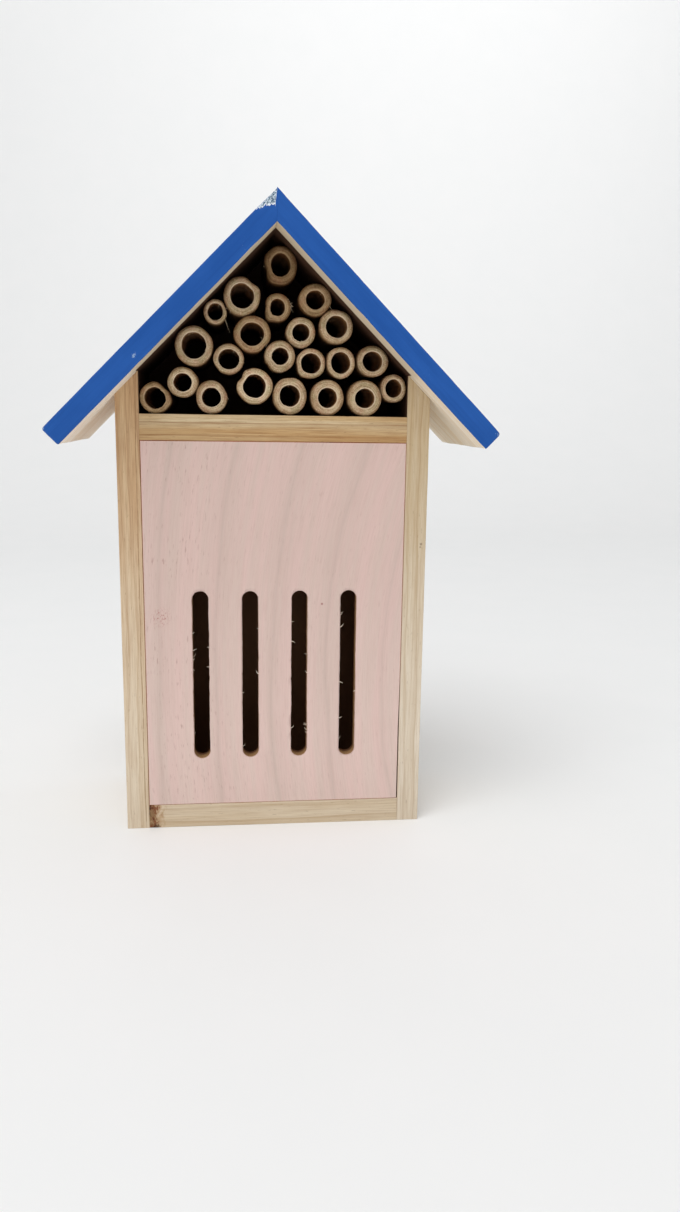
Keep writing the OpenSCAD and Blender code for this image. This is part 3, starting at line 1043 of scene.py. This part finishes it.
def tube_fibres(material):
    """Loose hairs at the ends of the tubes, most of them at the ragged ones, and one long hair."""
    rng = random.Random(17)
    parts = []
    for number, style in enumerate(TUBE_STYLE, 1):
        low, _, centre, outer = round_tube(f"tube_{number:02d}")
        for _ in range(int(4 * (style.ragged or 0.7) ** 1.5)):
            angle = math.radians(rng.uniform(*style.fray))
            reach = outer * rng.choice((0.60, 0.93, 0.95))
            x = centre[0] + reach * math.cos(angle)
            z = centre[2] + reach * math.sin(angle)
            root = Vector((x, low[1] + 0.6, z))
            length = rng.uniform(0.4, 1.2)
            bend = Vector((rng.uniform(-1, 1), rng.uniform(-0.4, 0.1), rng.uniform(-1, 1)))
            path = [root + bend * (length * t) + Vector((0, 0, -0.3 * t * t)) for t in (0, 0.35, 0.7, 1.0)]
            for spot in path:
                spot.y = max(spot.y, FRONT_Y - 0.3)
            parts.append(strand(path, rng.uniform(0.10, 0.20)))
    low, _, centre, _ = round_tube("tube_03")
    start = Vector((centre[0] + 3.6, low[1] + 0.8, low[2] + 2.0))
    slant = Vector((0.36, -0.12, -1.0))
    parts.append(strand([start + slant * step for step in (0.0, 1.8, 3.6, 5.4)], 0.22))
    points, faces = joined(parts)
    count = len(points)
    make_piece("tube_fibres", points, faces, material, [], "bamboo", u=[0.05] * count, face=[1.0] * count)


# ---------------- nails and hanger

# A nail from the middle of its head to its point, as (radius, height over its CAD face)
NAIL = [(0.25, 0.02), (0.7, 0.015), (1.15, -0.01), (1.42, -0.06), (1.58, -0.18), (1.6, -0.35),
        (1.45, -0.6), (0.8, -0.75), (0.8, -24.0), (0.2, -25.0)]


def flat_nails(node, axis, face, material):
    """Flat nail heads a hair proud of the dents that they were driven into, with their shanks."""
    direction = [0, 0, 0]
    direction[axis] = math.copysign(1, face)
    points, faces = joined([lathe(NAIL[::-1], spot, direction, 36) for spot in nail_spots(node, axis, face)])
    make_piece(f"{node}_steel", points, faces, material, [node], "nail_steel")


def sunk_nails(side, material):
    """The roof's headless nails, under the filled pits in the paint."""
    node = f"roof_nails_{side}"
    parts = []
    for low, high in roof_nails(side):
        x, y, _ = (low + high) / 2
        tall = high[2] - low[2]
        profile = [(0.15, 0.0), (0.8, 1.6), (0.8, tall - 0.15), (0.65, tall)]
        parts.append(lathe(profile, (x, y, low[2]), UP, 24))
    make_piece(f"{node}_steel", *joined(parts), material, [node], "nail_steel")


def rounded_rectangle(low, high, radius):
    """An outline in X and Z."""
    corners = ((high[0] - radius, high[2] - radius), (low[0] + radius, high[2] - radius),
               (low[0] + radius, low[2] + radius), (high[0] - radius, low[2] + radius))
    outline = []
    for quarter, (x, z) in enumerate(corners):
        outline += arc(x, z, radius, math.radians(90 * quarter), math.radians(90 * quarter + 90), 6)
    return outline


def hanger_plate(material):
    """A flat plate with rounded edges and a keyhole, made from a bevelled curve."""
    name = "hanger_plate_steel"
    thick = PLATE_HIGH[1] - PLATE_LOW[1]
    middle = (PLATE_LOW[1] + PLATE_HIGH[1]) / 2
    bevel = 0.2
    curve = bpy.data.curves.new(name, "CURVE")
    curve.dimensions = "2D"
    curve.fill_mode = "BOTH"
    curve.extrude = (thick / 2 - bevel) * MM
    curve.bevel_depth = bevel * MM
    curve.bevel_resolution = 3
    curve.offset = -bevel * MM
    for loop in (rounded_rectangle(PLATE_LOW, PLATE_HIGH, 2.0), keyhole_outline(4.2, 2.1)):
        line = curve.splines.new("POLY")
        line.points.add(len(loop) - 1)
        for point, (x, z) in zip(line.points, loop):
            point.co = (x * MM, z * MM, 0, 1)
        line.use_cyclic_u = True
    scratch = add_object(f"{name}_curve", curve)
    bpy.context.view_layer.update()
    mesh = bpy.data.meshes.new_from_object(scratch.evaluated_get(bpy.context.evaluated_depsgraph_get()))
    bpy.data.objects.remove(scratch)
    bpy.data.curves.remove(curve)
    mesh.transform(Matrix.Translation((0, middle * MM, 0)) @ Matrix.Rotation(math.pi / 2, 4, "X"))
    work = bmesh.new()
    work.from_mesh(mesh)
    bmesh.ops.remove_doubles(work, verts=work.verts, dist=0.002 * MM)
    bmesh.ops.recalc_face_normals(work, faces=work.faces)
    work.to_mesh(mesh)
    work.free()
    mesh.name = name
    mesh.materials.clear()
    mesh.materials.append(material)
    place(mesh, ["hanger_plate"])


def recess_bar(x, y, z, turn):
    """A cutter for one bar of a screw's cross recess, narrower at its bottom."""
    along = np.array([math.cos(turn), 0, math.sin(turn)])
    across = np.array([-math.sin(turn), 0, math.cos(turn)])
    rings = []
    for depth, half, wide in ((-1.0, 0.7, 0.28), (0.5, 1.75, 0.5)):
        middle = np.array([x, y + depth, z])
        rings.append([middle + along * half * a + across * wide * b
                      for a, b in ((-1, -1), (1, -1), (1, 1), (-1, 1))])
    return skin(rings, inside_out=True)


def hanger_screws(material):
    """Pan-head screws with a cross recess."""
    low, high = cad_box("hanger_screws")
    head = (high[2] - low[2]) / 2
    z = (low[2] + high[2]) / 2
    under_head = PLATE_HIGH[1]
    tall = high[1] - under_head
    tip = low[1] - under_head
    shank = [(0.3, tip), (1.5, tip + 1.6), (1.5, -0.02), (head * 0.97, 0.0)]
    dome = [(head * math.cos(t), tall * (0.35 + 0.65 * math.sin(t)))
            for t in np.linspace(0, math.pi / 2 * 0.93, 9)]
    screws, cutters = [], []
    for x, lean in ((low[0] + head, 12), (high[0] - head, 55)):
        screws.append(lathe(shank + dome, (x, under_head, z), BACK, 40))
        cutters += [recess_bar(x, high[1], z, math.radians(turn)) for turn in (lean, lean + 90)]
    piece = make_piece("hanger_screws_steel", *joined(screws), material, ["hanger_screws"], "zinc_steel")
    carve(piece, cutters)


# ---------------- build

def build_house():
    wall_left = pine(
        "pine_wall_left", "z", (38.0, -52.0), 3.6, 1.3,
        rgb(213, 184, 144), rgb(199, 161, 119), rgb(148, 97, 57),
        fade=(rgb(226, 211, 188), rgb(217, 198, 170), rgb(184, 154, 120), 185.0, 20.0), seam=-INNER_X - 1.5)
    wall_right = pine(
        "pine_wall_right", "z", (4.0, -60.0), 3.9, 8.9,
        rgb(207, 190, 161), rgb(199, 178, 143), rgb(172, 140, 101),
        fade=(rgb(229, 217, 199), rgb(219, 204, 182), rgb(192, 168, 137), 185.0, 20.0),
        spots=[((59.3, FRONT_Y, 119.5), 0.7, 0.5), ((59.0, FRONT_Y, 118.2), 0.5, 0.4)])
    base = pine(
        "pine_base", "x", (-70.0, -40.0), 4.2, 4.4,
        rgb(223, 208, 184), rgb(213, 193, 163), rgb(184, 157, 124),
        warp=0.6, knot=((-INNER_X - 0.2, FRONT_Y, 5.6), 5.0), spots=[((-49.6, FRONT_Y, 0.2), 1.9, 0.85)])
    shelf = pine(
        "pine_shelf", "x", (-20.0, 126.6), 4.63, 6.1,
        rgb(216, 196, 160), rgb(201, 170, 124), rgb(140, 96, 52),
        warp=0.25, fade=(rgb(203, 173, 129), rgb(192, 154, 106), rgb(144, 100, 58), 168.5, 162.0))
    back = pine("pine_back", "z", (20.0, 75.0), 6.5, 2.6, light=rgb(208, 184, 148), dark=rgb(170, 130, 84))
    # The roofs' near-white bare wood colours are painted light from the pale floor below
    paint_left = blue_roof(
        "blue_paint_left", "left_slope", (10.0, 120.0), 5.2, rgb(252, 247, 238), rgb(247, 237, 222))
    paint_right = blue_roof(
        "blue_paint_right", "right_slope", (-30.0, 110.0), 9.4, rgb(252, 246, 232), rgb(247, 234, 210))
    side_wall("left", 23, wall_left)
    side_wall("right", 11, wall_right)
    flat_board("base_board", 13, base)
    flat_board("shelf_board", 17, shelf)
    back_board(back)
    front_panel(pink_stain("pink_stained_pine"))
    roof_board("left", 71, paint_left)
    roof_board("right", 61, paint_right)


def build_tubes():
    shades = {shade: bamboo(f"bamboo_{shade}", 3.1 * i + 1.7, tint)
              for i, (shade, tint) in enumerate(BAMBOO_SHADES.items())}
    for number, style in enumerate(TUBE_STYLE, 1):
        tube(number, style, shades[style.shade])
    tube_fibres(shades["tan"])


def build_steel():
    wire = metal("nail_steel", rgb(186, 184, 178), rgb(140, 138, 134), 0.32, 0.5)
    zinc = metal("zinc_steel", rgb(200, 202, 204), rgb(160, 162, 166), 0.28)
    flat_nails("side_nails_left", 0, -OUTER_X, wire)
    flat_nails("side_nails_right", 0, OUTER_X, wire)
    flat_nails("back_nails", 1, REAR_Y, wire)
    sunk_nails("left", wire)
    sunk_nails("right", wire)
    hanger_plate(zinc)
    hanger_screws(zinc)


def build_floor():
    """A pale sweep: a floor that curves up far behind the object."""
    r = Recipe("pale_sweep", Specular_IOR_Level=0.1)
    mottle = r.noise(r.place * 0.02, 3.0, 0.5)
    r.set("Base Color", r.mix(mottle, rgb(243, 244, 244), rgb(246, 246, 246)))
    r.set("Roughness", 0.9)
    front, bend, top, half_width = -3000, 900, 5000, 5000
    profile = [(front, 0)] + arc(bend, bend, bend, -math.pi / 2, 0, 16) + [(2 * bend, top)]
    points = [(x, y, z) for y, z in profile for x in (-half_width, half_width)]
    faces = [[2 * i, 2 * i + 1, 2 * i + 3, 2 * i + 2] for i in range(len(profile) - 1)]
    add_object("sweep", new_mesh("sweep", points, faces, r.material))


def add_area(name, location, target, size, power):
    """A rectangular lamp that shines towards target and that the camera doesn't see, in metres."""
    light = bpy.data.lights.new(name, "AREA")
    light.shape = "RECTANGLE"
    light.size, light.size_y = size
    light.energy = power
    lamp = add_object(name, light)
    lamp.location = location
    lamp.rotation_euler = (Vector(target) - Vector(location)).to_track_quat("-Z", "Y").to_euler()
    lamp.visible_camera = False


def build_light():
    world = bpy.data.worlds.new("studio")
    world.use_nodes = True
    background = world.node_tree.nodes["Background"]
    background.inputs["Color"].default_value = (1.0, 1.0, 1.0, 1.0)
    background.inputs["Strength"].default_value = 0.55
    bpy.context.scene.world = world
    add_area("key", (-0.6, -0.9, 1.9), (0, 0, 0.12), (1.5, 1.5), 22.5)
    add_area("bounce", (0, -0.68, 0.003), (0, -0.68, 1), (1.8, 1.24), 1.3)
    add_area("backdrop", (0.4, 0.9, 1.2), (0.25, 1.8, 1.2), (1.2, 0.5), 2.7)
    add_area("backdrop_side", (1.3, 0.3, 1.5), (0.6, 1.8, 0.6), (1.0, 1.0), 2.6)
    bpy.context.scene.view_settings.view_transform = "Standard"


def build_camera():
    """The photo's camera, as found from the straight edges of the house."""
    camera = bpy.data.cameras.new("camera")
    camera.sensor_width = 36.0
    camera.lens = 28.57
    camera.clip_start = 0.01
    viewer = add_object("camera", camera)
    viewer.location = (-0.0167, -0.4124, 0.1714)
    to_right, up, roll = math.radians(6.445), math.radians(-11.363), math.radians(0.814)
    level = Matrix.Rotation(-to_right, 3, "Z") @ Matrix.Rotation(math.pi / 2 + up, 3, "X")
    viewer.rotation_euler = (level @ Matrix.Rotation(roll, 3, "Z")).to_euler()
    bpy.context.scene.camera = viewer


build_camera()
build_house()
build_tubes()
slot_splinters(pine("splinter_pine", "z", (0.0, 0.0), 3.0, 0.4, light=rgb(245, 238, 226),
                    tone=rgb(240, 228, 208), dark=rgb(224, 204, 176)))
build_steel()
build_floor()
build_light()
